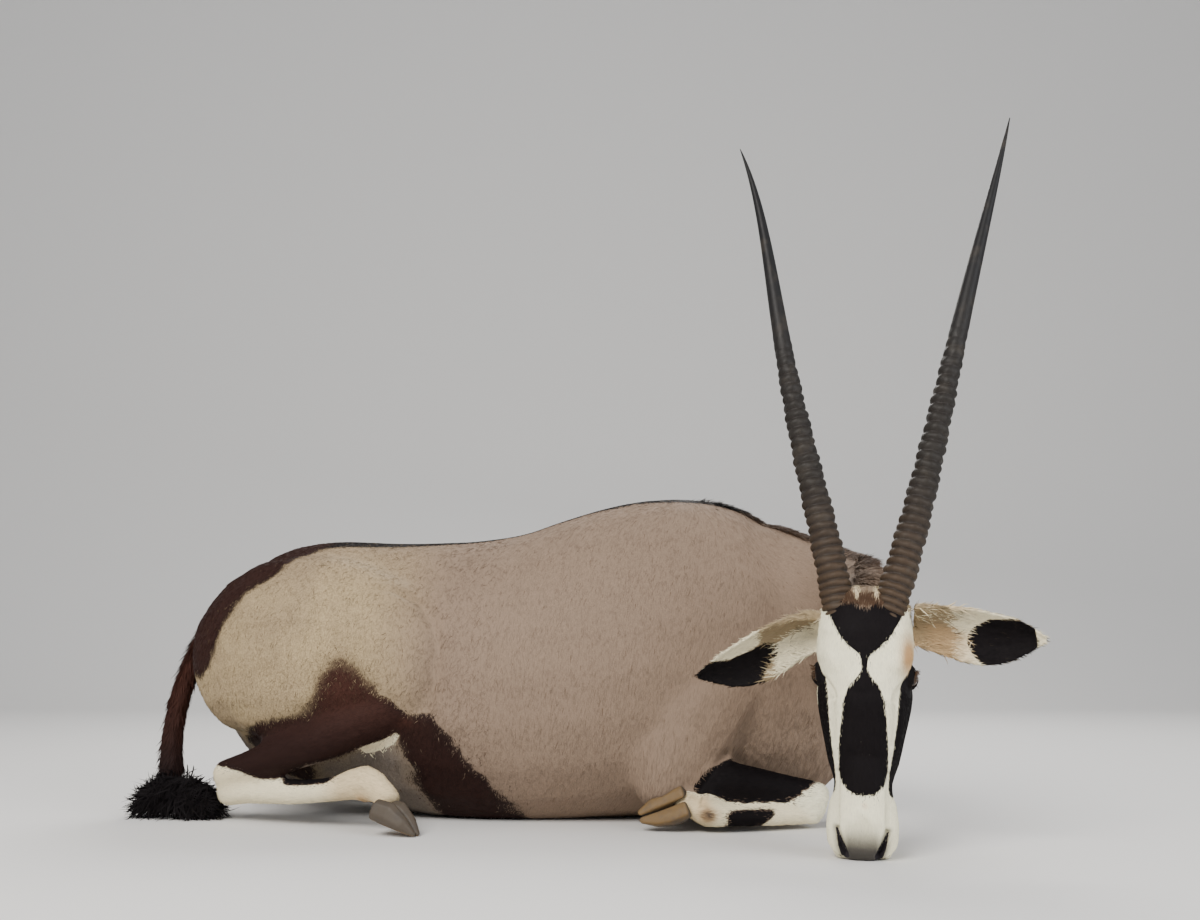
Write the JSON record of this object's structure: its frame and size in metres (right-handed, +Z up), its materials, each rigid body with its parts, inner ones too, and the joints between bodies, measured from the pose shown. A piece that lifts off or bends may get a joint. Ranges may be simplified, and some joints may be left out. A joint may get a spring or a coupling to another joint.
{
  "type": "gemsbok",
  "caption": "Still life-size gemsbok lying on its chest, legs folded under, head turned to its right with the muzzle on the floor and long ringed horns up.",
  "frame": {"origin": "on the floor, at the middle of the outline seen from above", "axes": "+X along the long side of the outline, from the rump towards the chest, +Y across it, to the animal's left and away from its face, +Z up"},
  "size_m": [1.5708, 0.9182, 1.2134],
  "materials": {
    "coat_fawn": "short smooth coat, pinkish fawn grey, with a dark stripe along the back and dark flank and thigh patches",
    "coat_face": "very short coat, white with a black forehead patch, black nose blaze and black cheek stripes",
    "coat_ear": "short coat, pale grey back, black blotch in the outer half and a white fringe",
    "coat_dark": "short coat, brown black",
    "coat_white": "short coat, creamy white with dark stripes and knee spots",
    "tail_hair": "long coarse hair, dark brown to black",
    "horn": "horn, ringed and brownish near the base, dark grey and smooth above",
    "hoof": "dull grey horn, khaki sole",
    "eye": "wet, very dark brown"
  },
  "bodies": {
    "root": {"torso": "coat_fawn", "neck": "coat_fawn", "head": "coat_face", "ear_left": "coat_ear", "ear_right": "coat_ear", "eye_left": "eye", "eye_right": "eye", "horn_left": "horn", "horn_right": "horn", "upper_arm_left": "coat_fawn", "upper_arm_right": "coat_fawn", "forearm_left": "coat_dark", "forearm_right": "coat_dark", "fore_cannon_left": "coat_white", "fore_cannon_right": "coat_white", "fore_claw_outer_left": "hoof", "fore_claw_inner_left": "hoof", "fore_claw_outer_right": "hoof", "fore_claw_inner_right": "hoof", "thigh_left": "coat_fawn", "thigh_right": "coat_fawn", "shank_left": "coat_dark", "shank_right": "coat_dark", "hind_cannon_left": "coat_white", "hind_cannon_right": "coat_white", "hind_claw_outer_left": "hoof", "hind_claw_inner_left": "hoof", "hind_claw_outer_right": "hoof", "hind_claw_inner_right": "hoof", "tail": "tail_hair", "tail_tuft": "tail_hair"}
  },
  "joints": []
}
